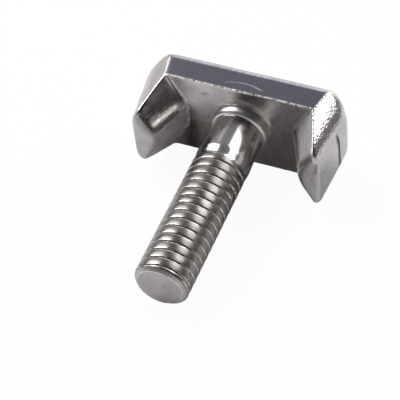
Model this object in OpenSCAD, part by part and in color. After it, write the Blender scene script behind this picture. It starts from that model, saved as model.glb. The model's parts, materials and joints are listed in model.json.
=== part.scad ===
// Battery terminal T-bolt: a forged bar head with two tapered claws, a root bead, a plain shank and a
// screw end, in one piece of stainless steel. Millimetres. The bolt lies on its side as it comes to rest:
// on the long lower edge of the head and on the rim of the screw end, with the screw end towards -Y.

/* [Head] */
// Length of the head across its two ends, at the widest
head_l = 31; // [29:0.1:36]
// Width of the head across its flat sides
head_w = 14.9; // [13:0.1:18]
// Thickness of the head bar, from its top to its underside
head_t = 5.1; // [4:0.1:7]
// Radius along the two long edges of the head's top
top_edge_r = 1.7; // [0.5:0.1:2]
// Radius where the head's top turns down into each end
end_r = 3.4; // [1.5:0.1:3.9]
// Length of the flat sides at the underside, between the corner facets
side_l = 22.4; // [20:0.1:25]
// Reach of each flat end above the bolt's axis, at the underside
end_up = 4.2; // [3:0.1:5.5]
// Reach of each flat end below the bolt's axis, at the underside
end_down = 3.2; // [2.5:0.1:5.5]

/* [Claws] */
// Height of the claws below the underside of the head
claw_h = 6.5; // [4:0.1:8]
// Lean of the outer end faces towards the bolt's axis, in degrees
end_lean = 8; // [2:0.5:12]
// Width of each flat end at the claw's tip, between the corner facets
end_tip_w = 8.2; // [6:0.1:10]
// Distance between the inner noses of the two claws at the underside
jaw_gap = 16.2; // [14:0.1:18]
// Lean of the inner noses away from the bolt's axis, in degrees
nose_lean = 24; // [10:0.5:25]
// Width of each inner nose at the underside, between the inner facets
nose_w = 3.4; // [2:0.1:6]
// Width of each inner nose at the claw's tip, between the inner facets
nose_tip_w = 2; // [1:0.1:6]
// Radius where a nose runs out into the underside
nose_root_r = 1; // [0.4:0.1:2]
// Radius round each claw's tip
tip_r = 0.8; // [0.3:0.05:1]

/* [Shank] */
// Length of the shank, from the underside of the head to the screw end
shank_l = 30.6; // [24:0.1:60]
// Diameter of the plain part of the shank
plain_d = 7.6; // [7:0.05:7.6]
// Length of the plain part, from the underside of the head to the thread
plain_l = 8; // [5:0.1:16]
// Outer diameter of the bead at the root of the shank
bead_d = 9; // [8.4:0.1:11]
// Height of the bead
bead_h = 1.4; // [0.8:0.1:2.4]

/* [Thread] */
// Major diameter of the thread
thread_d = 7.94; // [7.94:0.01:9.5]
// Diameter of the flat at the screw end
end_flat_d = 6.5; // [5:0.1:7]
// Length of the bevel at the screw end
end_bevel = 0.7; // [0.3:0.05:1.5]
// Length of the bevel at the start of the thread
start_bevel = 0.4; // [0.2:0.05:1]

/* [Hidden] */
$fn = 96;

// Reach of a cutting block past the head, and how deep the shank is rooted in the head
reach = head_l + claw_h;
shank_root = head_t / 2;

// Outward normals, in the plane of the front outline, of an outer end face and of an inner nose
end_n = [cos(end_lean), sin(end_lean)];
nose_n = [-cos(nose_lean), sin(nose_lean)];

// Distances of those two lines from the centre of the underside, along their normals
end_c = [head_l / 2 - end_r, end_r - head_t];
end_d = end_n * end_c + end_r;
nose_d = nose_n.x * jaw_gap / 2;

// Where a line with normal n, at distance d, stands at height z
function line_x(n, d, z) = (d - n.y * z) / n.x;

// Centres of the arcs at a claw's outer tip, inner tip and nose root
outer_tip_c = [line_x(end_n, end_d - tip_r, claw_h - tip_r), claw_h - tip_r];
inner_tip_c = [line_x(nose_n, nose_d - tip_r, claw_h - tip_r), claw_h - tip_r];
nose_root_c = [line_x(nose_n, nose_d + nose_root_r, nose_root_r), nose_root_r];

// Corners that the facets of one claw run through
shoulder = [side_l / 2, head_w / 2, 0];
end_tip = [line_x(end_n, end_d, claw_h), end_tip_w / 2, claw_h];
nose_root = [jaw_gap / 2, nose_w / 2, 0];
nose_tip = [line_x(nose_n, nose_d, claw_h), nose_tip_w / 2, claw_h];

// Centre of the arc along a long top edge, in the side outline
edge_c = [head_w / 2 - top_edge_r, top_edge_r - head_t];

// Tilt of the lying bolt, from the head's lower edge down to the rim of the screw end
tilt = atan((head_w - thread_d) / 2 / (shank_l - end_bevel));

// Reach of the lying bolt behind and in front of the underside's centre, and the height of that centre
back_y = edge_c.x * sin(tilt) - edge_c.y * cos(tilt) + top_edge_r;
front_y = end_flat_d / 2 * sin(tilt) + shank_l * cos(tilt);
centre_z = head_w / 2 * cos(tilt);

// The points of half an outline, and then its mirror image across the axis
function both_halves(half) =
    concat(half, [for (i = [len(half) - 1:-1:0]) [-half[i].x, half[i].y]]);

// A disc of radius r at c, and its mirror image across the axis
module disc_pair(c, r) {
    for (side = [-1, 1]) translate([side * c.x, c.y]) circle(r);
}

// Front outline of the head: the bar with a claw hanging at each end. Its arcs are discs on the chords
// of a polygon, and the nose roots are discs cut out of it.
module front_outline() {
    difference() {
        union() {
            polygon(both_halves([
                [end_c.x, -head_t],
                end_c + end_r * end_n,
                outer_tip_c + tip_r * end_n,
                [outer_tip_c.x, claw_h],
                [inner_tip_c.x, claw_h],
                inner_tip_c + tip_r * nose_n,
                nose_root_c - nose_root_r * nose_n,
                [nose_root_c.x, 0],
            ]));
            disc_pair(end_c, end_r);
            disc_pair(outer_tip_c, tip_r);
            disc_pair(inner_tip_c, tip_r);
        }
        disc_pair(nose_root_c, nose_root_r);
    }
}

// Side outline of the head: straight sides with a rounded edge at each top corner
module side_outline() {
    polygon(both_halves([
        [edge_c.x, -head_t],
        [head_w / 2, edge_c.y],
        [head_w / 2, reach],
    ]));
    disc_pair(edge_c, top_edge_r);
}

// Everything beyond the plane through three points, on the side that its normal points to
module beyond(a, b, c) {
    n = cross(b - a, c - a);
    translate(a)
        rotate([0, acos(n.z / norm(n)), atan2(n.y, n.x)])
            translate([-reach, -reach, 0]) cube([2 * reach, 2 * reach, reach]);
}

// What the corner facet and the inner facet take off one quarter of the head, for a flat end that
// reaches end_half across
module quarter_facets(end_half) {
    end_root = [line_x(end_n, end_d, 0), end_half, 0];
    beyond(shoulder, end_tip, end_root);
    intersection() {
        beyond(shoulder, nose_root, nose_tip);
        cube(reach);
    }
}

module head() {
    difference() {
        intersection() {
            rotate([90, 0, 0]) linear_extrude(head_w, center = true) front_outline();
            rotate([90, 0, 90]) linear_extrude(2 * reach, center = true) side_outline();
        }
        for (x = [0, 1]) mirror([x, 0, 0]) {
            quarter_facets(end_up);
            mirror([0, 1, 0]) quarter_facets(end_down);
        }
    }
}

// Shank with its root bead, plain part, screw end and bevels
module shank() {
    bead_r = bead_h / 2;
    rotate_extrude() {
        polygon([
            [0, -shank_root],
            [plain_d / 2, -shank_root],
            [plain_d / 2, plain_l],
            [thread_d / 2, plain_l + start_bevel],
            [thread_d / 2, shank_l - end_bevel],
            [end_flat_d / 2, shank_l],
            [0, shank_l],
        ]);
        translate([bead_d / 2 - bead_r, bead_r]) circle(bead_r);
        translate([plain_d / 2 - bead_r, 0]) square([(bead_d - plain_d) / 2, bead_h]);
    }
}

// The whole bolt, laid on its side
module t_bolt() {
    color("silver")
        translate([0, (front_y - back_y) / 2, centre_z])
            rotate([90 + tilt, 0, 0]) {
                head();
                shank();
            }
}

t_bolt();
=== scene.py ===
"""A battery terminal T-bolt in stainless steel: a forged bar head with two tapered claws, a bead at the
root of the shank, a polished plain part and a right-hand thread. It lies on its side on a pale floor, seen
in a plain studio. All lengths are in metres, and the bolt is shaped along its own axes: X along the head,
Y across it and Z down the shank, from the middle of the head's underside."""

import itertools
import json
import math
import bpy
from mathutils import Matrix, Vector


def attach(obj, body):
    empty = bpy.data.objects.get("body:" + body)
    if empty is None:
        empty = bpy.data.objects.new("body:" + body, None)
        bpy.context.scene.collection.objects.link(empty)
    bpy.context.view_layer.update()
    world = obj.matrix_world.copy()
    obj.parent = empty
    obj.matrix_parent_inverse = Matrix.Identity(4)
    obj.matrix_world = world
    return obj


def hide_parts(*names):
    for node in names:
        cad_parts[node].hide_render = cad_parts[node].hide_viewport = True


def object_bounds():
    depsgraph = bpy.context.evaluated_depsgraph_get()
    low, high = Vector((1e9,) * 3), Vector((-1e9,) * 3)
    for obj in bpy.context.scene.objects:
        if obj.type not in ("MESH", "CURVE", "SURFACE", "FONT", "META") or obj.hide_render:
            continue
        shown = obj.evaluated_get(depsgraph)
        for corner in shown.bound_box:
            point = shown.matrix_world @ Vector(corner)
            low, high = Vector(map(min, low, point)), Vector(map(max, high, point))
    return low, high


bl_info = {
    "name": "Battery Terminal T-Bolt",
    "version": (1, 0, 0),
    "blender": (4, 5, 0),
    "location": "View3D > Sidebar > T-Bolt",
    "description": "Makes a forged steel T-bolt with a helical thread, and a plain studio to see it in",
    "category": "Add Mesh",
}

from typing import NamedTuple

import bpy
import numpy as np
import openvdb
from bpy.props import FloatProperty, FloatVectorProperty, PointerProperty
from mathutils import Matrix, Vector

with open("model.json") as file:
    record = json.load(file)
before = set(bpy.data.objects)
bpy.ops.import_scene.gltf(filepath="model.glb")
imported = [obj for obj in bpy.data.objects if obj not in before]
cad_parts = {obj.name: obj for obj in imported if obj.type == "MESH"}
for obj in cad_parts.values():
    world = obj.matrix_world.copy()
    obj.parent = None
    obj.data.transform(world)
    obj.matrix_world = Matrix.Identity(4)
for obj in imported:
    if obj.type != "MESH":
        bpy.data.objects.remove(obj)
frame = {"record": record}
CAD_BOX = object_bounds()
MOUNTS = {mount["name"]: mount for mount in frame["record"]["mounts"]}
MM = 0.001


# Settings


def length(name, millimetres, description):
    """A length that a user can change."""
    return FloatProperty(
        name=name, description=description, default=millimetres * MM, unit="LENGTH", precision=5
    )


def angle(name, degrees, description):
    """An angle that a user can change."""
    return FloatProperty(
        name=name, description=description, default=math.radians(degrees), subtype="ANGLE"
    )


def share(name, value, description, top=1.0):
    """A plain number from nought upwards that a user can change."""
    return FloatProperty(name=name, description=description, default=value, min=0.0, soft_max=top)


def colour(name, value, description):
    """A colour that a user can change."""
    return FloatVectorProperty(
        name=name, description=description, default=value, size=3, subtype="COLOR", min=0.0, max=1.0
    )


class HeadSizes(bpy.types.PropertyGroup):
    """Sizes of the forged head"""

    bar_length: FloatProperty(
        name="Bar Length",
        description="Across the two ends of the head, at the widest",
        default=CAD_BOX[1].x - CAD_BOX[0].x,
        unit="LENGTH",
        precision=5,
    )
    bar_width: length("Bar Width", 14.9, "Across the two flat sides of the head")
    bar_thickness: length("Bar Thickness", 5.1, "From the top of the head to its underside")
    side_length: length("Side Length", 22.4, "Length of the flat sides at the underside")
    end_reach_up: length("Upper End Reach", 4.2, "Reach of a flat end above the axis, at the underside")
    end_reach_down: length("Lower End Reach", 3.2, "Reach of a flat end below the axis, at the underside")
    claw_height: length("Claw Height", 6.5, "Height of the claws from the underside to their tips")
    end_lean: angle("End Lean", 8.0, "Lean of the ends towards the bolt's axis")
    end_tip_width: length("End Tip Width", 8.2, "Width of a flat end at the claw's tip")
    jaw_gap: length("Jaw Gap", 16.2, "Between the noses of the two claws, at the underside")
    nose_lean: angle("Nose Lean", 24.0, "Lean of the noses away from the bolt's axis")
    nose_width: length("Nose Width", 3.4, "Width of a nose at the underside")
    nose_tip_width: length("Nose Tip Width", 2.0, "Width of a nose at the claw's tip")
    end_round: length("End Round", 3.4, "Radius where the top turns down into an end")
    top_round: length("Top Edge Round", 1.7, "Radius along the long edges of the top")
    left_crown: length("Left Crown Radius", 18.0, "Radius across the left claw's corner facets")
    right_crown: length("Right Crown Radius", 11.0, "Radius across the right claw's corner facets")
    facet_soft: length("Facet Softness", 0.3, "How far the edges beside the flat sides are worn")
    upper_soft: length("Upper Corner Softness", 1.6, "How far the ends' edges are worn above the axis")
    lower_soft: length("Lower Corner Softness", 0.5, "How far the ends' edges are worn below the axis")
    nose_soft: length("Nose Softness", 0.8, "How far the edges beside a nose are worn")
    tip_soft: length("Tip Softness", 0.7, "How far the edges round a claw's tip are worn")
    root_soft: length("Root Softness", 0.5, "How far a claw runs out into the underside")
    burr_soft: length("Burr Softness", 0.24, "How far the edges round the underside are worn, at most")
    burr_spacing: length("Burr Spacing", 0.9, "Between one nick and the next along those edges")
    wave_depth: length("Forging Waves", 0.05, "Depth of the long shallow waves left by forging")
    wave_spacing: length("Wave Spacing", 4.5, "Between one wave and the next")
    dent_depth: length("Facet Dents", 0.02, "Depth of the small dents in the corner facets")
    dent_spacing: length("Dent Spacing", 0.42, "Between one dent and the next")


class ShankSizes(bpy.types.PropertyGroup):
    """Sizes of the shank and its thread"""

    shank_length: length("Shank Length", 30.57, "From the underside of the head to the screw end")
    neck_diameter: length("Neck Diameter", 7.68, "Diameter of the plain part at its waist beside the bead")
    neck_length: length("Neck Length", 3.2, "From the underside of the head to the end of the waist")
    shoulder_diameter: length("Shoulder Diameter", 8.08, "Diameter of the plain part at its widest")
    shoulder_place: length("Shoulder Place", 7.2, "From the underside of the head to the widest place")
    land_diameter: length("Land Diameter", 7.74, "Diameter of the plain part beside the thread")
    plain_length: length("Plain Length", 8.8, "From the underside of the head to the thread")
    shank_round: length("Shank Round", 0.3, "How far the corners of the shank's outline are rounded")
    bead_diameter: length("Bead Diameter", 9.1, "Outer diameter of the bead at the root")
    bead_height: length("Bead Height", 1.4, "Height of the bead along the shank")
    thread_diameter: length(
        "Thread Diameter", 2 * MOUNTS["thread"]["dims"]["r_mm"], "Diameter over the thread's crests"
    )
    pitch: length("Pitch", 1.411, "Distance from one turn of the thread to the next")
    thread_depth: length("Thread Depth", 0.22, "From the crests down to the roots")
    thread_crown: length("Thread Crown", 0.05, "How far the broad crests are domed")
    crest_round: length("Crest Round", 0.1, "How far the edges of the crests are worn")
    thread_phase: share("Thread Phase", 0.31, "Share of a turn by which the thread starts later")
    end_bevel: length("End Bevel", 0.4, "Length of the bevel at the screw end")
    end_flat_diameter: length("End Flat Diameter", 6.4, "Diameter of the flat at the screw end")


class SteelLooks(bpy.types.PropertyGroup):
    """Colours of the steel"""

    steel: colour("Steel", (0.55, 0.525, 0.525), "Clean stainless steel")
    pale: colour("Pale Steel", (0.62, 0.585, 0.58), "Clean stainless steel, pressed or rubbed")
    bright: colour("Bright Edge", (0.8, 0.78, 0.77), "Steel rubbed bright on edges and scraped faces")
    # Darker steel tone of the ground sides; its blue tint is painted reflection of the dim bluish room
    ground: colour("Ground Side", (0.4, 0.388, 0.425), "The ground flat sides of the head")
    thread: colour("Thread", (0.26, 0.235, 0.22), "The duller steel of the thread")
    # Real oil and scale in grooves and corners, and also painted shade on the left claw's inner face and
    # in the underside's corner beside the left claw
    stain_and_shade: colour("Stain", (0.07, 0.056, 0.044), "Old oil and scale left in grooves and corners")


class StudioSettings(bpy.types.PropertyGroup):
    """Camera, lamps and floor"""

    view_azimuth: angle("View Azimuth", 24.53, "Turn of the camera round the bolt, from the screw end")
    view_elevation: angle("View Elevation", 44.11, "Height of the camera above the horizon")
    view_roll: angle("View Roll", -3.06, "Lean of the camera about its own axis")
    view_distance: length("View Distance", 227.44, "From the camera to the point that it looks at")
    view_aim: FloatVectorProperty(
        name="View Aim",
        description="Point in the middle of the picture",
        default=(0.291 * MM, -3.885 * MM, 7.65 * MM),
        subtype="TRANSLATION",
        precision=5,
    )
    lens: FloatProperty(
        name="Lens", description="Focal length on a full frame", default=148.05, unit="CAMERA"
    )
    left_azimuth: angle("Left Azimuth", 81.0, "Turn of the left softbox, from behind the bolt")
    left_elevation: angle("Left Elevation", 46.0, "Height of the left softbox above the horizon")
    left_width: length("Left Width", 390.0, "Width of the left softbox")
    left_height: length("Left Height", 440.0, "Height of the left softbox")
    right_azimuth: angle("Right Azimuth", 41.5, "Turn of the right softbox, from behind the bolt")
    right_elevation: angle("Right Elevation", 46.0, "Height of the right softbox above the horizon")
    right_width: length("Right Width", 360.0, "Width of the right softbox")
    right_height: length("Right Height", 290.0, "Height of the right softbox")
    softbox_distance: length("Softbox Distance", 600.0, "From the bolt to each softbox")
    left_level: share("Left Level", 6.0, "Brightness of the left softbox, where 1 is white", 10.0)
    right_level: share("Right Level", 3.5, "Brightness of the right softbox, where 1 is white", 10.0)
    wall_level: share("Wall Level", 1.6, "Brightness of the white wall behind the bolt")
    wall_top: angle("Wall Top", 40.0, "Height of the wall's upper edge above the horizon")
    wall_side: angle("Wall Side", 30.0, "Turn of the wall's side edges, from behind the bolt")
    back_colour: colour("Back Colour", (0.27, 0.27, 0.305), "The dim room above the wall")
    front_colour: colour("Front Colour", (0.03, 0.029, 0.029), "The dark room in front of the bolt")
    low_colour: colour("Low Front Colour", (0.4, 0.39, 0.38), "The room low in front of the bolt")
    floor_size: length("Floor Size", 3000.0, "Side of the square floor")
    floor_colour: colour("Floor Colour", (0.92, 0.92, 0.92), "Pale floor")
    floor_lift: share("Floor Lift", 0.95, "Share of pure white in the floor as the camera sees it")
    floor_gloss: share("Floor Gloss", 0.0, "Share of pure white in the floor as steel shows it")


# Shapes as distances


# Dents: the length of their table of depths, and the steps through it along X, Y and Z
DENT_TABLE = 4093
DENT_STEPS = (1, 61, 3607)
# Half the width over which wear changes from one side of the bolt to the other
CHANGE_OVER = 2 * MM
# Least share of the burr's softness, and of the dents on the smoother left facets
LEAST_BURR = 0.25
LEAST_DENT = 0.2
# Where the dents start and are full, as how far a corner facet stands out past its neighbours
FACET_EDGE = (-1.2 * MM, 0.2 * MM)
# Turns over which the crests rise from the plain part, and over which the grooves deepen
CREST_RISE = 0.2
GROOVE_RUN_IN = 0.8
# Rise of the flanks of a 60 degree thread along the axis
FLANK_RISE = math.sqrt(3)
# Points over which the shank's outline is averaged
ROUND_POINTS = 9


def rounded(a, b, radius, cosine=0.0):
    """Where the two bodies with distances a and b overlap, with the edge between them rounded by a ball.
    The cosine is of the angle between their outward normals."""
    u = a + radius
    v = b + radius
    ball = np.sqrt(np.maximum(u * u + v * v - 2 * cosine * u * v, 0)) / math.sqrt(1 - cosine * cosine)
    on_edge = (u > cosine * v) & (v > cosine * u)
    return np.where(on_edge, ball - radius, np.maximum(a, b))


def softened(a, b, depth):
    """Where the two bodies with distances a and b overlap, with the edge between them worn away."""
    near = np.maximum(depth - np.abs(a - b), 0)
    return np.maximum(a, b) + near * near / (4 * depth)


def eased(x, start, stop):
    """0 before start, 1 after stop and a smooth step between."""
    t = np.clip((x - start) / (stop - start), 0, 1)
    return t * t * (3 - 2 * t)


def dents(points, spacing, seed):
    """Smooth seeded hollows from 0 to 1 deep at each point, about one spacing apart."""
    cell = points / spacing
    base = np.floor(cell).astype(int)
    part = eased(cell - base, 0, 1)
    table = np.random.default_rng(seed).random(DENT_TABLE)
    total = np.zeros(len(points))
    for corner in itertools.product((0, 1), repeat=3):
        weight = np.where(corner, part, 1 - part).prod(1)
        total += weight * table[(base + corner) @ DENT_STEPS % DENT_TABLE]
    return total


def plane_through(a, b, c):
    """Unit normal of the plane through three points, and its distance from the origin."""
    a, b, c = (np.array(p) for p in (a, b, c))
    normal = np.cross(b - a, c - a)
    normal /= np.linalg.norm(normal)
    return normal, normal @ a


class HeadForm:
    """The forged head, as how far points stand outside each of its faces"""

    OUTER_FACES = ("top", "side", "end", "corner")
    CLAW_FACES = ("nose", "inner", "tip")

    def __init__(self, size):
        self.size = size
        lean = size.end_lean
        self.end_normal = np.array((math.cos(lean), 0, math.sin(lean)))
        centre_z = size.end_round - size.bar_thickness
        end_centre = np.array((size.bar_length / 2 - size.end_round, 0, centre_z))
        self.end_offset = self.end_normal @ end_centre + size.end_round
        self.nose_normal = np.array((-math.cos(size.nose_lean), 0, math.sin(size.nose_lean)))
        self.nose_offset = self.nose_normal[0] * size.jaw_gap / 2

        shoulder = (size.side_length / 2, size.bar_width / 2, 0)
        end_tip = self.on_end(size.end_tip_width / 2, size.claw_height)
        self.upper_corner = plane_through(shoulder, end_tip, self.on_end(size.end_reach_up, 0))
        self.lower_corner = plane_through(shoulder, end_tip, self.on_end(size.end_reach_down, 0))
        self.corner_middle = (np.array(shoulder) + self.on_end(size.end_reach_up, 0)) / 2
        self.corner_half = np.linalg.norm(np.array(shoulder) - self.corner_middle)
        nose_root = (size.jaw_gap / 2, size.nose_width / 2, 0)
        tip_x = (self.nose_offset - self.nose_normal[2] * size.claw_height) / self.nose_normal[0]
        nose_tip = (tip_x, size.nose_tip_width / 2, size.claw_height)
        self.inner = plane_through(shoulder, nose_root, nose_tip)

    def on_end(self, y, z):
        """The point of the right end face at y and z."""
        return ((self.end_offset - self.end_normal[2] * z) / self.end_normal[0], y, z)

    def faces(self, points):
        """How far the points stand outside each face, by the face's name."""
        upper = points.copy()
        upper[:, 0] = np.abs(points[:, 0])
        lower = upper * (1, -1, 1)
        y = points[:, 1]
        z = points[:, 2]

        def outside(p, plane):
            return p @ plane[0] - plane[1]

        crown = np.where(points[:, 0] > 0, self.size.right_crown, self.size.left_crown)

        def outside_dome(p, plane):
            normal = plane[0]
            level = np.array((-normal[1], normal[0], 0)) / math.hypot(normal[0], normal[1])
            across = (p - self.corner_middle) @ level
            return outside(p, plane) + (across**2 - self.corner_half**2) / (2 * crown)

        upper_dome = outside_dome(upper, self.upper_corner)
        lower_dome = outside_dome(lower, self.lower_corner)
        return {
            "top": -z - self.size.bar_thickness,
            "side": np.abs(y) - self.size.bar_width / 2,
            "end": outside(upper, (self.end_normal, self.end_offset)),
            "corner": np.maximum(upper_dome, lower_dome),
            "under": z,
            "nose": outside(upper, (self.nose_normal, self.nose_offset)),
            "inner": np.maximum(outside(upper, self.inner), outside(lower, self.inner)),
            "tip": z - self.size.claw_height,
        }

    def distance(self, points):
        """How far the points stand outside the whole head."""
        size = self.size
        face = self.faces(points)
        bar = rounded(face["top"], face["end"], size.end_round, -math.sin(size.end_lean))
        above = eased(points[:, 1], -CHANGE_OVER, CHANGE_OVER)
        end_soft = size.lower_soft + above * (size.upper_soft - size.lower_soft)
        bar = softened(bar, face["corner"], end_soft)
        bar = softened(bar, rounded(face["top"], face["side"], size.top_round), size.facet_soft)
        claw = softened(face["nose"], face["inner"], size.nose_soft)
        claw = softened(claw, face["tip"], size.tip_soft)
        below = -softened(-face["under"], -claw, size.root_soft)
        nicks = dents(points, size.burr_spacing, seed=3)
        burr = size.burr_soft * (LEAST_BURR + (1 - LEAST_BURR) * nicks)
        near_tip = eased(points[:, 2], size.claw_height / 2, size.claw_height)
        return softened(bar, below, burr + near_tip * (size.tip_soft - burr))

    def forging_marks(self, points):
        """How deep the forging marks are at points of the surface."""
        size = self.size
        face = self.faces(points)
        on_corner = eased(face["corner"] - np.maximum(face["end"], face["side"]), *FACET_EDGE)
        to_right = eased(points[:, 0], -CHANGE_OVER, CHANGE_OVER)
        amount = on_corner * (LEAST_DENT + (1 - LEAST_DENT) * to_right)
        waves = size.wave_depth * dents(points, size.wave_spacing, seed=1)
        return waves + amount * size.dent_depth * dents(points, size.dent_spacing, seed=2)

    def face_at(self, points):
        """Name of the face that each point of the surface lies on."""
        face = self.faces(points)
        outer = np.stack([face[name] for name in self.OUTER_FACES])
        claw = np.stack([face[name] for name in self.CLAW_FACES])
        below = np.minimum(face["under"], claw.max(0))
        names = np.array(self.CLAW_FACES)[claw.argmax(0)]
        names = np.where(face["under"] < claw.max(0), "under", names)
        return np.where(outer.max(0) > below, np.array(self.OUTER_FACES)[outer.argmax(0)], names)


class ShankForm:
    """The shank, as its radius round and along the axis"""

    def __init__(self, size):
        self.size = size
        self.crest = size.thread_diameter / 2
        self.thread_end = size.shank_length - size.end_bevel

    def outline(self, z):
        """Radius of the shank without its thread."""
        size = self.size
        corners = (
            (0, size.neck_diameter / 2),
            (size.neck_length, size.neck_diameter / 2),
            (size.shoulder_place, size.shoulder_diameter / 2),
            (size.plain_length, size.land_diameter / 2),
            (size.plain_length + CREST_RISE * size.pitch, self.crest),
            (self.thread_end, self.crest),
            (size.shank_length, size.end_flat_diameter / 2),
        )
        steps = np.linspace(-1, 1, ROUND_POINTS) * size.shank_round
        plain = sum(np.interp(z + step, *zip(*corners)) for step in steps) / len(steps)
        up_bead = np.clip(z / size.bead_height, 0, 1)
        bead = plain + (size.bead_diameter - size.neck_diameter) / 2 * np.sqrt(1 - up_bead**2)
        return np.where(up_bead < 1, bead, plain)

    def radius(self, turn, z):
        """Radius at a share of a turn round the axis, with the thread cut in."""
        size = self.size
        from_root = np.abs((z / size.pitch - turn - size.thread_phase) % 1 - 0.5) * size.pitch
        from_crest = size.pitch / 2 - from_root
        crown = self.crest - size.thread_crown * (2 * from_crest / size.pitch) ** 2
        flank = self.crest - size.thread_depth + from_root * FLANK_RISE
        threaded = -softened(-crown, -flank, size.crest_round)
        cut = eased(z, size.plain_length, size.plain_length + GROOVE_RUN_IN * size.pitch)
        return self.outline(z) - cut * np.maximum(self.crest - threaded, 0)


# Meshes


# Rows of points down the bead, the plain part and each turn of the thread, and columns round the shank
BEAD_ROWS = 25
PLAIN_ROWS = 50
ROWS_PER_TURN = 26
COLUMNS = 112
# Radii of the rings across the screw end, as shares of its flat
END_RINGS = np.array((0.97, 0.9, 0.75, 0.5, 0.25))
# Size of the head's quads, and how often they are evened out and settled on the surface
HEAD_STEP = 0.2 * MM
EVEN_ROUNDS = 4
SETTLE_ROUNDS = 2
# The least square of a slope that a point is settled by
LEAST_SLOPE = 0.1
# How deep the shank is rooted in the head
SHANK_ROOT = 1.4 * MM


def mesh_object(name, points, faces):
    """A smooth mesh object from points and faces."""
    mesh = bpy.data.meshes.new(name)
    mesh.from_pydata(points.tolist(), [], faces)
    mesh.shade_smooth()
    made = bpy.data.objects.new(name, mesh)
    bpy.context.scene.collection.objects.link(made)
    return made


def gradient(distance, points, step):
    """Direction in which a distance grows, at each point."""
    moves = np.eye(3) * step
    return np.stack([distance(points + m) - distance(points - m) for m in moves], 1) / (2 * step)


def relaxed(points, quads):
    """The points, each moved to the middle of its neighbours."""
    total = np.zeros_like(points)
    count = np.zeros(len(points))
    for i in range(4):
        for j in ((i + 1) % 4, (i + 3) % 4):
            np.add.at(total, quads[:, i], points[quads[:, j]])
            np.add.at(count, quads[:, i], 1)
    return total / count[:, None]


def head_mesh(form):
    """The head's surface as a closed mesh of even quads."""
    size = form.size
    reach = np.array((size.bar_length / 2, size.bar_width / 2, 0)) + 3 * HEAD_STEP
    low = np.array((-reach[0], -reach[1], -size.bar_thickness - reach[2]))
    high = np.array((reach[0], reach[1], size.claw_height + reach[2]))
    axes = [np.arange(start, stop, HEAD_STEP) for start, stop in zip(low, high)]
    cells = np.stack(np.meshgrid(*axes, indexing="ij"), -1)
    field = form.distance(cells.reshape(-1, 3)).reshape(cells.shape[:3])
    volume = openvdb.FloatGrid(3 * HEAD_STEP)
    volume.copyFromArray(field.astype(np.float32))
    points, quads = volume.convertToQuads(0.0)
    points = points.astype(float) * HEAD_STEP + low
    for _ in range(EVEN_ROUNDS):
        points = relaxed(points, quads)
        for _ in range(SETTLE_ROUNDS):
            slope = gradient(form.distance, points, HEAD_STEP / 20)
            steepness = np.maximum((slope * slope).sum(1), LEAST_SLOPE)
            points -= slope * (form.distance(points) / steepness)[:, None]
    inward = -slope / np.linalg.norm(slope, axis=1)[:, None]
    points += inward * form.forging_marks(points)[:, None]
    return mesh_object("forged_head", points, quads.tolist())


def shank_mesh(form):
    """The shank's surface as a closed mesh: rows of points down the axis, then rings across the end."""
    size = form.size
    bead = size.bead_height * np.sin(np.linspace(0, math.pi / 2, BEAD_ROWS))
    plain = np.linspace(bead[-1], size.plain_length, PLAIN_ROWS)[1:-1]
    rows = math.ceil((size.shank_length - size.plain_length) / size.pitch * ROWS_PER_TURN)
    threaded = np.linspace(size.plain_length, size.shank_length, rows)
    z = np.concatenate(((-SHANK_ROOT,), bead, plain, threaded))
    turn = np.arange(COLUMNS) / COLUMNS
    radius = form.radius(turn[None, :], z[:, None])
    radius = np.concatenate((radius, radius[-1:] * END_RINGS[:, None]))
    z = np.concatenate((z, np.full(len(END_RINGS), size.shank_length)))
    across = radius[..., None] * np.stack((np.cos(turn * math.tau), np.sin(turn * math.tau)), -1)
    down = np.broadcast_to(z[:, None, None], (*radius.shape, 1))
    points = np.concatenate((across, down), -1).reshape(-1, 3)
    poles = np.array(((0, 0, z[0]), (0, 0, z[-1])))
    first, last = len(points), len(points) + 1
    faces = []
    for row in range(len(z) - 1):
        for column in range(COLUMNS):
            beside = (column + 1) % COLUMNS
            here = row * COLUMNS
            there = here + COLUMNS
            faces.append((here + column, here + beside, there + beside, there + column))
    end = (len(z) - 1) * COLUMNS
    for column in range(COLUMNS):
        beside = (column + 1) % COLUMNS
        faces.append((first, beside, column))
        faces.append((last, end + column, end + beside))
    return mesh_object("threaded_shank", np.concatenate((points, poles)), faces)


def joined(head, shank):
    """Head and shank as one closed mesh."""
    union = head.modifiers.new("Union", "BOOLEAN")
    union.operation = "UNION"
    union.solver = "MANIFOLD"
    union.object = shank
    graph = bpy.context.evaluated_depsgraph_get()
    mesh = bpy.data.meshes.new_from_object(head.evaluated_get(graph))
    mesh.materials.clear()
    for part in (head, shank):
        bpy.data.objects.remove(part)
    if not mesh.polygons:
        raise RuntimeError("The head and the shank did not join")
    return mesh


# Marks that the finishes follow


# Radius of a bend that counts as a full edge, and the shortest run that a bend is measured over
EDGE_RADIUS = 0.35 * MM
SHORTEST_RUN = 0.02 * MM
# How far above the underside the shank begins, and how far it goes past the bead's rim and the plain part
UNDERSIDE_GAP = 0.02 * MM
SHANK_GAP = 0.1 * MM


def own_axes():
    """Matrix from the bolt's own axes to where the bolt lies, from the mounts of the solid."""
    down = Vector(MOUNTS["thread"]["axis"]).normalized()
    along = Vector((1, 0, 0))
    turn = Matrix((along, down.cross(along), down)).transposed().to_4x4()
    thickness = bpy.context.scene.t_bolt_head.bar_thickness
    return Matrix.Translation(Vector(MOUNTS["head_top"]["pos_m"]) + thickness * down) @ turn


def read(values, name, width):
    """One value of every item of a mesh as an array."""
    got = np.empty(len(values) * width, np.float32)
    values.foreach_get(name, got)
    return got.reshape(-1, width).astype(float)


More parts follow.
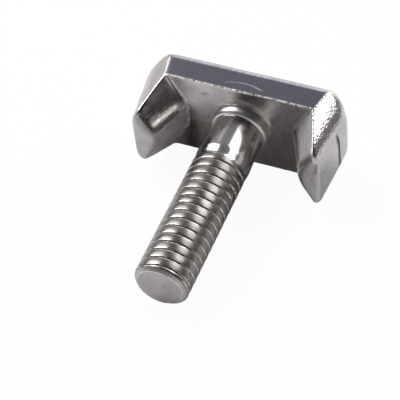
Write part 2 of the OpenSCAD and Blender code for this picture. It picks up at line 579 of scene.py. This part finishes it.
def edge_sharpness(mesh, points):
    """1 on a sharp edge, -1 in a sharp groove and 0 where the surface is flat, at each point."""
    normals = read(mesh.vertices, "normal", 3)
    ends = np.empty(len(mesh.edges) * 2, np.int32)
    mesh.edges.foreach_get("vertices", ends)
    a, b = ends.reshape(-1, 2).T
    run = points[a] - points[b]
    bend = ((normals[a] - normals[b]) * run).sum(1) / np.maximum((run * run).sum(1), SHORTEST_RUN**2)
    total = np.bincount(a, bend, len(points)) + np.bincount(b, bend, len(points))
    count = np.bincount(a, minlength=len(points)) + np.bincount(b, minlength=len(points))
    return np.clip(total / count * EDGE_RADIUS, -1, 1)


def zone_names(head, shank, middles):
    """Name of the finish of each face."""
    x, y, z = middles.T
    around = np.hypot(x, y)
    finish_of = {name: finish.name for finish in FINISHES for name in finish.faces}
    faces = head.face_at(middles)
    faces = np.where((faces == "corner") & (x > 0), "right_corner", faces)
    faces = np.where((faces == "inner") & (x < 0) & (y > 0), "left_inner", faces)
    names = np.array([finish_of[name] for name in faces], object)
    on_shank = (z > UNDERSIDE_GAP) & (around < shank.size.bead_diameter / 2 + SHANK_GAP)
    names[on_shank] = finish_of["plain"]
    names[on_shank & (z < shank.size.bead_height)] = finish_of["bead"]
    names[on_shank & (z > shank.size.plain_length + SHANK_GAP)] = finish_of["thread"]
    names[on_shank & (z > shank.thread_end)] = finish_of["disc"]
    return names


def add_marks(mesh, head, shank):
    """Stores on the mesh what the finishes follow, and gives each face its finish."""
    points = read(mesh.vertices, "co", 3)
    put = mesh.attributes.new("bolt_mm", "FLOAT_VECTOR", "POINT")
    put.data.foreach_set("vector", (points / MM).astype(np.float32).ravel())
    put = mesh.attributes.new("edge", "FLOAT", "POINT")
    put.data.foreach_set("value", edge_sharpness(mesh, points).astype(np.float32))
    depth = (shank.crest - np.hypot(points[:, 0], points[:, 1])) / shank.size.thread_depth
    threaded = eased(points[:, 2], shank.size.plain_length, shank.size.plain_length + shank.size.pitch)
    put = mesh.attributes.new("groove", "FLOAT", "POINT")
    put.data.foreach_set("value", (np.clip(depth, 0, 1) * threaded).astype(np.float32))
    names = zone_names(head, shank, read(mesh.polygons, "center", 3))
    slots = {finish.name: i for i, finish in enumerate(FINISHES)}
    mesh.polygons.foreach_set("material_index", np.array([slots[n] for n in names], np.int32))


# Finishes


class Finish(NamedTuple):
    """How one group of faces was worked"""

    name: str
    faces: tuple
    tone: str
    roughness: float
    streaks_per_mm: tuple
    streak_depth: float
    grains_per_mm: float
    grain_depth: float
    blotch: float
    groove_roughness: float = 0.0


FINISHES = (
    Finish("tumbled_steel", ("top", "end"), "steel", 0.22, (0.4, 1.2, 1.5), 0.001, 2.5, 0.002, 0.15),
    Finish("ground_steel", ("side",), "ground", 0.18, (3.6, 0.4, 0.12), 0.002, 3.0, 0.0008, 0.55),
    Finish("pressed_steel", ("under",), "pale", 0.25, (0.6, 0.6, 0.6), 0.001, 2.2, 0.002, 0.15),
    Finish("cut_steel", ("tip",), "steel", 0.34, (0.6, 0.6, 0.6), 0.001, 2.2, 0.002, 0.2),
    Finish("forged_steel", ("corner",), "pale", 0.32, (0.9, 0.9, 0.5), 0.002, 4.5, 0.007, 0.15),
    Finish("hammered_steel", ("right_corner",), "pale", 0.15, (0.9, 0.9, 0.5), 0.002, 3.0, 0.05, 0.25),
    Finish("drawn_steel", ("left_inner",), "steel", 0.2, (2.5, 2.5, 0.3), 0.006, 3.0, 0.005, 0.5),
    Finish("scraped_steel", ("nose", "inner"), "bright", 0.6, (1.6, 1.6, 0.15), 0.035, 2.2, 0.006, 0.5),
    Finish("rolled_steel", ("bead",), "bright", 0.3, (0.02, 0.02, 4.0), 0.002, 2.5, 0.001, 0.2),
    Finish("polished_steel", ("plain",), "pale", 0.16, (0.02, 0.02, 6.0), 0.0012, 2.5, 0.0, 0.1),
    Finish("threaded_steel", ("thread",), "thread", 0.26, (0.2, 0.2, 2.5), 0.001, 3.0, 0.002, 0.2, 0.35),
    Finish("sheared_steel", ("disc",), "pale", 0.42, (1.2, 0.4, 1.0), 0.002, 2.0, 0.004, 0.12),
)


class Mark(NamedTuple):
    """A single mark on one finish, along a path of points in millimetres of the bolt's axes. Most are
    marks of handling; some are painted shade, and the burr's bright line is partly painted highlight. A
    patchy mark is broken up."""

    finish: str
    path: tuple
    width: float
    height: float
    tone: str
    strength: float
    patchy: bool = True


MARKS = (
    # Raised burr along the lower edge of the flat side; its bright colour is partly rubbed steel and
    # partly painted highlight
    Mark("ground_steel", ((-11.2, 7.45, 0), (11.2, 7.45, 0)), 0.3, 0.09, "bright", 0.9),
    Mark(
        "ground_steel",
        (
            (-2.7, 7.45, -1.05),
            (-1.1, 7.45, -1.55),
            (0.4, 7.45, -1.7),
            (1.9, 7.45, -1.55),
            (3.5, 7.45, -1.05),
        ),
        0.14,
        0.012,
        "bright",
        0.7,
    ),
    Mark("tumbled_steel", ((15.2, -3.7, 0.5), (15.15, 4.4, 0.75)), 0.5, -0.15, "stain_and_shade", 2.0, patchy=False),
    Mark("cut_steel", ((13.1, 0.0, 6.5),), 0.3, -0.03, "stain_and_shade", 0.8, patchy=False),
    Mark("cut_steel", ((13.85, 3.4, 6.4), (13.7, 1.8, 6.5)), 0.5, 0.0, "stain_and_shade", 0.6, patchy=False),
    # Darker across the left claw's tip
    Mark("cut_steel", ((-13.3, 4.4, 6.4), (-11.5, 1.7, 6.5)), 1.7, 0.0, "stain_and_shade", 0.45, patchy=False),
    Mark("drawn_steel", ((-12.9, 4.4, 6.1), (-11.2, 1.9, 6.0)), 0.9, 0.0, "stain_and_shade", 0.7, patchy=False),
    # Painted shade: a dark band on the left claw's inner face, standing in for the dark reflection of the
    # shank's shaded side
    Mark("drawn_steel", ((-10.1, 4.4, 1.0), (-11.7, 4.5, 4.3)), 1.9, 0.0, "stain_and_shade", 0.5, patchy=False),
    Mark("scraped_steel", ((11.2, 2.0, 5.9), (12.9, 4.2, 6.1)), 1.0, 0.0, "stain_and_shade", 0.75, patchy=False),
    Mark("scraped_steel", ((8.2, 1.9, 0.2), (10.2, 1.2, 4.5)), 1.5, 0.0, "stain_and_shade", 0.75, patchy=False),
    Mark("pressed_steel", ((-5.6, 5.0, 0), (-5.1, 5.4, 0)), 0.6, 0.0, "stain_and_shade", 0.5),
    Mark("pressed_steel", ((-11.0, 6.8, 0), (-8.1, 1.6, 0)), 0.7, 0.0, "stain_and_shade", 0.9),
    # Painted shadow: darkens the underside beside the left claw's root, where the shadowed floor under the
    # head is reflected
    Mark("pressed_steel", ((-8.0, 0.6, 0), (-8.2, -7.0, 0)), 2.2, 0.0, "stain_and_shade", 0.75, patchy=False),
)


# Darkest share of a finish's tone, and how far dirt covers it in grooves
DARK_SHARE = 0.6
DIRT_SHARE = 0.15
# Least share of a finish's roughness, and what blotches and streaks each add
ROUGH_LEAST = 0.85
ROUGH_SWING = 0.3
# Depths of a thread groove at which it starts and stops growing rougher, as shares
GROOVE_WALL = (0.2, 0.7)
# Blotches, breaks in bright edges and breaks in patchy marks, per millimetre
BLOTCHES_PER_MM = 0.35
EDGE_BREAKS_PER_MM = 1.8
MARK_BREAKS_PER_MM = 2.2


def new_node(tree, kind, inputs=None, **settings):
    """A shader node with its settings, and its inputs set to values or linked to other sockets."""
    node = tree.nodes.new("ShaderNode" + kind)
    for name, value in settings.items():
        setattr(node, name, value)
    for name, value in (inputs or {}).items():
        if isinstance(value, bpy.types.NodeSocket):
            tree.links.new(value, node.inputs[name])
        else:
            node.inputs[name].default_value = value
    return node


def calculate(tree, operation, *values):
    """The result of one sum on values or sockets."""
    return new_node(tree, "Math", dict(enumerate(values)), operation=operation).outputs[0]


def on_vectors(tree, operation, a, b):
    """The outputs of one operation on two vectors."""
    return new_node(tree, "VectorMath", {0: a, 1: b}, operation=operation).outputs


def spread(tree, value, start, stop):
    """0 where a value is at start, 1 where it is at stop and a smooth step between."""
    inputs = {"Value": value, "From Min": start, "From Max": stop}
    return new_node(tree, "MapRange", inputs, interpolation_type="SMOOTHSTEP").outputs[0]


def mixed(tree, amount, a, b):
    """Two colours mixed by an amount."""
    inputs = {"Factor": amount, "A": a, "B": b}
    node = tree.nodes.new("ShaderNodeMix")
    node.data_type = "RGBA"
    for name, value in inputs.items():
        socket = next(s for s in node.inputs if s.name == name and s.enabled)
        if isinstance(value, bpy.types.NodeSocket):
            tree.links.new(value, socket)
        else:
            socket.default_value = value
    return next(s for s in node.outputs if s.enabled)


def speckle(tree, vector, scale, detail):
    """Value of a noise at a vector."""
    return new_node(tree, "TexNoise", {"Vector": vector, "Scale": scale, "Detail": detail}).outputs[0]


def new_group(name, inputs, outputs):
    """An empty shader node group, with its named inputs and outputs."""
    group = bpy.data.node_groups.new(name, "ShaderNodeTree")
    for socket, kind in inputs.items():
        group.interface.new_socket(socket, in_out="INPUT", socket_type="NodeSocket" + kind)
    for socket, kind in outputs.items():
        group.interface.new_socket(socket, in_out="OUTPUT", socket_type="NodeSocket" + kind)
    source = group.nodes.new("NodeGroupInput")
    return group, source.outputs, group.nodes.new("NodeGroupOutput").inputs


def marks_group():
    """Streaks, grain and blotches left by tools and handling."""
    inputs = {"Position": "Vector", "Streaks per mm": "Vector", "Grains per mm": "Float"}
    outputs = dict.fromkeys(("Streaks", "Grain", "Blotches"), "Float")
    group, given, put = new_group("Tool Marks", inputs, outputs)
    stretched = on_vectors(group, "MULTIPLY", given["Position"], given["Streaks per mm"])
    streaks = speckle(group, stretched[0], 1.0, 1.0)
    group.links.new(spread(group, streaks, 0.35, 0.75), put["Streaks"])
    group.links.new(speckle(group, given["Position"], given["Grains per mm"], 1.0), put["Grain"])
    blotches = speckle(group, given["Position"], BLOTCHES_PER_MM, 3.0)
    group.links.new(spread(group, blotches, 0.3, 0.7), put["Blotches"])
    return group


def wear_group():
    """Edges rubbed bright in a broken line, and dirt in grooves."""
    inputs = {"Position": "Vector", "Edge": "Float"}
    group, given, put = new_group("Edge Wear", inputs, dict.fromkeys(("Bright", "Dirt"), "Float"))
    broken = spread(group, speckle(group, given["Position"], EDGE_BREAKS_PER_MM, 3.0), 0.3, 0.6)
    worn = spread(group, given["Edge"], 0.15, 0.7)
    group.links.new(calculate(group, "MULTIPLY", worn, broken), put["Bright"])
    group.links.new(spread(group, given["Edge"], -0.1, -0.8), put["Dirt"])
    return group


def near_path(tree, position, path, width):
    """1 on a path of points and 0 further from it than the width."""
    mask = 0.0
    for start, stop in zip(path, path[1:] or path):
        run = Vector(stop) - Vector(start)
        share_of_run = tuple(run / max(run.length_squared, 1e-6))
        offset = on_vectors(tree, "SUBTRACT", position, start)[0]
        along = on_vectors(tree, "DOT_PRODUCT", offset, share_of_run)["Value"]
        along = new_node(tree, "Clamp", {"Value": along}).outputs[0]
        foot = new_node(tree, "VectorMath", {0: tuple(run), "Scale": along}, operation="SCALE").outputs[0]
        gap = on_vectors(tree, "DISTANCE", offset, foot)["Value"]
        mask = calculate(tree, "MAXIMUM", spread(tree, gap, width, 0.0), mask)
    return mask


def attribute(tree, name, output):
    """A value stored on the mesh."""
    return new_node(tree, "Attribute", attribute_name=name).outputs[output]


def finish_material(finish, looks, marks, wear):
    """The material of one finish."""
    material = bpy.data.materials.new(finish.name)
    material.use_nodes = True
    tree = material.node_tree
    tree.nodes.clear()
    position = attribute(tree, "bolt_mm", "Vector")
    made = new_node(tree, "Group", node_tree=marks)
    tree.links.new(position, made.inputs["Position"])
    made.inputs["Streaks per mm"].default_value = finish.streaks_per_mm
    made.inputs["Grains per mm"].default_value = finish.grains_per_mm
    worn = new_node(tree, "Group", node_tree=wear)
    tree.links.new(position, worn.inputs["Position"])
    tree.links.new(attribute(tree, "edge", "Fac"), worn.inputs["Edge"])

    tone = (*getattr(looks, finish.tone), 1)
    dark = (*(DARK_SHARE * c for c in tone[:3]), 1)
    shade = calculate(tree, "MULTIPLY", made.outputs["Blotches"], finish.blotch)
    shade = calculate(tree, "MULTIPLY_ADD", made.outputs["Streaks"], finish.blotch, shade)
    base = mixed(tree, shade, tone, dark)
    groove = attribute(tree, "groove", "Fac")
    dirt = calculate(tree, "MAXIMUM", worn.outputs["Dirt"], groove)
    dirt = calculate(tree, "MULTIPLY", dirt, DIRT_SHARE)
    base = mixed(tree, dirt, base, (*looks.stain_and_shade, 1))
    base = mixed(tree, worn.outputs["Bright"], base, (*looks.bright, 1))

    swing = ROUGH_SWING * finish.roughness
    least = ROUGH_LEAST * finish.roughness
    rough = calculate(tree, "MULTIPLY_ADD", made.outputs["Blotches"], swing, least)
    rough = calculate(tree, "MULTIPLY_ADD", made.outputs["Streaks"], swing, rough)
    if finish.groove_roughness:
        deep = spread(tree, groove, *GROOVE_WALL)
        rough = calculate(tree, "MULTIPLY_ADD", deep, finish.groove_roughness, rough)
    height = calculate(tree, "MULTIPLY", made.outputs["Streaks"], finish.streak_depth)
    height = calculate(tree, "MULTIPLY_ADD", made.outputs["Grain"], finish.grain_depth, height)
    broken = spread(tree, speckle(tree, position, MARK_BREAKS_PER_MM, 3.0), 0.36, 0.56)
    # Each mark mixes its tone into the colour: real marks of handling, and the painted shade and painted
    # highlight among them
    for mark in MARKS:
        if mark.finish == finish.name:
            mask = near_path(tree, position, mark.path, mark.width)
            if mark.patchy:
                mask = calculate(tree, "MULTIPLY", mask, broken)
            height = calculate(tree, "MULTIPLY_ADD", mask, mark.height, height)
            amount = calculate(tree, "MULTIPLY", mask, mark.strength)
            base = mixed(tree, amount, base, (*getattr(looks, mark.tone), 1))
    bump = new_node(tree, "Bump", {"Height": height, "Strength": 1.0, "Distance": MM})
    surface = new_node(
        tree,
        "BsdfPrincipled",
        {"Base Color": base, "Roughness": rough, "Metallic": 1.0, "Normal": bump.outputs[0]},
    )
    output = new_node(tree, "OutputMaterial")
    tree.links.new(surface.outputs[0], output.inputs["Surface"])
    return material


# Studio


# Half the width over which the wall's edges fade, and how far the floor lies under the bolt
WALL_FADE = 0.05
FLOOR_GAP = 0.01 * MM


def direction(azimuth, elevation):
    """Unit vector at an azimuth from +Y towards +X, and at an elevation."""
    flat = math.cos(elevation)
    return Vector((math.sin(azimuth) * flat, math.cos(azimuth) * flat, math.sin(elevation)))


def add_softbox(scene, name, place, width, height, level):
    """A soft lamp that faces the bolt from a place, of a brightness where 1 is white."""
    data = bpy.data.lights.new(name, "AREA")
    data.shape = "RECTANGLE"
    data.size = width
    data.size_y = height
    data.energy = level * math.pi * width * height
    softbox = bpy.data.objects.new(name, data)
    scene.collection.objects.link(softbox)
    softbox.location = place
    softbox.rotation_euler = place.to_track_quat("Z", "Y").to_euler()


def studio_world(studio):
    """A white wall low behind the bolt, a dim room above it, a dark room in front that is lighter low
    down, and white to the camera."""
    world = bpy.data.worlds.new("studio")
    world.use_nodes = True
    tree = world.node_tree
    tree.nodes.clear()
    place = new_node(tree, "TexCoord").outputs["Generated"]
    axis = new_node(tree, "SeparateXYZ", {"Vector": place}).outputs
    top = math.sin(studio.wall_top)
    side = math.sin(studio.wall_side)
    wall = spread(tree, axis["Z"], top + WALL_FADE, top - WALL_FADE)
    wall = calculate(tree, "MULTIPLY", wall, spread(tree, axis["Y"], 0.0, 0.2))
    sideways = calculate(tree, "ABSOLUTE", axis["X"])
    wall = calculate(tree, "MULTIPLY", wall, spread(tree, sideways, side + WALL_FADE, side - WALL_FADE))
    behind = spread(tree, axis["Y"], -0.1, 0.6)
    room = mixed(tree, behind, (*studio.front_colour, 1), (*studio.back_colour, 1))
    low = spread(tree, axis["Z"], 0.45, 0.1)
    low_in_front = calculate(tree, "MULTIPLY", low, spread(tree, axis["Y"], -0.3, -0.7))
    room = mixed(tree, low_in_front, room, (*studio.low_colour, 1))
    room = mixed(tree, wall, room, (*(studio.wall_level,) * 3, 1))
    seen = new_node(tree, "LightPath").outputs["Is Camera Ray"]
    shown = mixed(tree, seen, room, (1, 1, 1, 1))
    light = new_node(tree, "Background", {"Color": shown, "Strength": 1.0})
    output = new_node(tree, "OutputWorld")
    tree.links.new(light.outputs[0], output.inputs["Surface"])
    return world


def floor_material(studio):
    """A pale floor that keeps the bolt's shadow, lifted towards white for the camera, and by a share of
    its own for reflections."""
    material = bpy.data.materials.new("pale_floor")
    material.use_nodes = True
    tree = material.node_tree
    tree.nodes.clear()
    path = new_node(tree, "LightPath").outputs
    lift = calculate(tree, "MULTIPLY", path["Is Camera Ray"], studio.floor_lift)
    lift = calculate(tree, "MULTIPLY_ADD", path["Is Glossy Ray"], studio.floor_gloss, lift)
    lift = calculate(tree, "MULTIPLY_ADD", path["Is Transmission Ray"], studio.floor_gloss, lift)
    matt = new_node(tree, "BsdfDiffuse", {"Color": (*studio.floor_colour, 1)})
    white = new_node(tree, "Emission", {"Color": (1, 1, 1, 1), "Strength": 1.0})
    mix = new_node(tree, "MixShader", {0: lift, 1: matt.outputs[0], 2: white.outputs[0]})
    output = new_node(tree, "OutputMaterial")
    tree.links.new(mix.outputs[0], output.inputs["Surface"])
    return material


def add_floor(studio):
    """The floor, just under the bolt."""
    half = studio.floor_size / 2
    corners = ((-half, -half), (half, -half), (half, half), (-half, half))
    points = np.array([(x, y, -FLOOR_GAP) for x, y in corners])
    floor = mesh_object("floor", points, [(0, 1, 2, 3)])
    floor.data.materials.append(floor_material(studio))


def add_camera(scene, studio):
    """The camera, at the photograph's viewing angle."""
    back = direction(math.pi - studio.view_azimuth, studio.view_elevation)
    data = bpy.data.cameras.new("camera")
    data.lens = studio.lens
    data.clip_start = 0.01
    camera = bpy.data.objects.new("camera", data)
    scene.collection.objects.link(camera)
    turn = back.to_track_quat("Z", "Y").to_matrix() @ Matrix.Rotation(studio.view_roll, 3, "Z")
    place = Matrix.Translation(Vector(studio.view_aim) + studio.view_distance * back)
    camera.matrix_world = place @ turn.to_4x4()
    scene.camera = camera


# Operators and panel


class MESH_OT_t_bolt_add(bpy.types.Operator):
    """Make the forged and threaded bolt"""

    bl_idname = "mesh.t_bolt_add"
    bl_label = "Make T-Bolt"

    def execute(self, context):
        scene = context.scene
        head = HeadForm(scene.t_bolt_head)
        shank = ShankForm(scene.t_bolt_shank)
        mesh = joined(head_mesh(head), shank_mesh(shank))
        mesh.name = "steel_t_bolt"
        add_marks(mesh, head, shank)
        mesh.transform(own_axes())
        marks = marks_group()
        wear = wear_group()
        for finish in FINISHES:
            mesh.materials.append(finish_material(finish, scene.t_bolt_looks, marks, wear))
        bolt = bpy.data.objects.new("steel_t_bolt", mesh)
        scene.collection.objects.link(bolt)
        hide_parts("t_bolt")
        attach(bolt, "root")
        return {"FINISHED"}


class SCENE_OT_t_bolt_studio(bpy.types.Operator):
    """Set up the floor, the lamps and the camera"""

    bl_idname = "scene.t_bolt_studio"
    bl_label = "Set Up Studio"

    def execute(self, context):
        scene = context.scene
        studio = scene.t_bolt_studio
        scene.view_settings.view_transform = "Standard"
        scene.world = studio_world(studio)
        add_floor(studio)
        left = direction(-studio.left_azimuth, studio.left_elevation) * studio.softbox_distance
        right = direction(studio.right_azimuth, studio.right_elevation) * studio.softbox_distance
        left_box = (studio.left_width, studio.left_height, studio.left_level)
        right_box = (studio.right_width, studio.right_height, studio.right_level)
        add_softbox(scene, "left_softbox", left, *left_box)
        add_softbox(scene, "right_softbox", right, *right_box)
        add_camera(scene, studio)
        return {"FINISHED"}


class VIEW3D_PT_t_bolt(bpy.types.Panel):
    """The bolt's and the studio's settings, and the buttons that make them"""

    bl_idname = "VIEW3D_PT_t_bolt"
    bl_label = "T-Bolt"
    bl_space_type = "VIEW_3D"
    bl_region_type = "UI"
    bl_category = "T-Bolt"

    def draw(self, context):
        for setting, group in SETTINGS.items():
            box = self.layout.box()
            box.label(text=group.__doc__)
            for name in group.__annotations__:
                box.prop(getattr(context.scene, setting), name)
        self.layout.operator(MESH_OT_t_bolt_add.bl_idname)
        self.layout.operator(SCENE_OT_t_bolt_studio.bl_idname)


SETTINGS = {
    "t_bolt_head": HeadSizes,
    "t_bolt_shank": ShankSizes,
    "t_bolt_looks": SteelLooks,
    "t_bolt_studio": StudioSettings,
}
CLASSES = (*SETTINGS.values(), MESH_OT_t_bolt_add, SCENE_OT_t_bolt_studio, VIEW3D_PT_t_bolt)


def register():
    """Adds the classes to Blender, and the settings to the scene."""
    for cls in CLASSES:
        bpy.utils.register_class(cls)
    for setting, group in SETTINGS.items():
        setattr(bpy.types.Scene, setting, PointerProperty(type=group))


def unregister():
    """Takes the settings and the classes away again."""
    for setting in SETTINGS:
        delattr(bpy.types.Scene, setting)
    for cls in reversed(CLASSES):
        bpy.utils.unregister_class(cls)


def main():
    """Makes the bolt and the studio."""
    register()
    bpy.ops.mesh.t_bolt_add()
    bpy.ops.scene.t_bolt_studio()


if __name__ == "__main__":
    main()
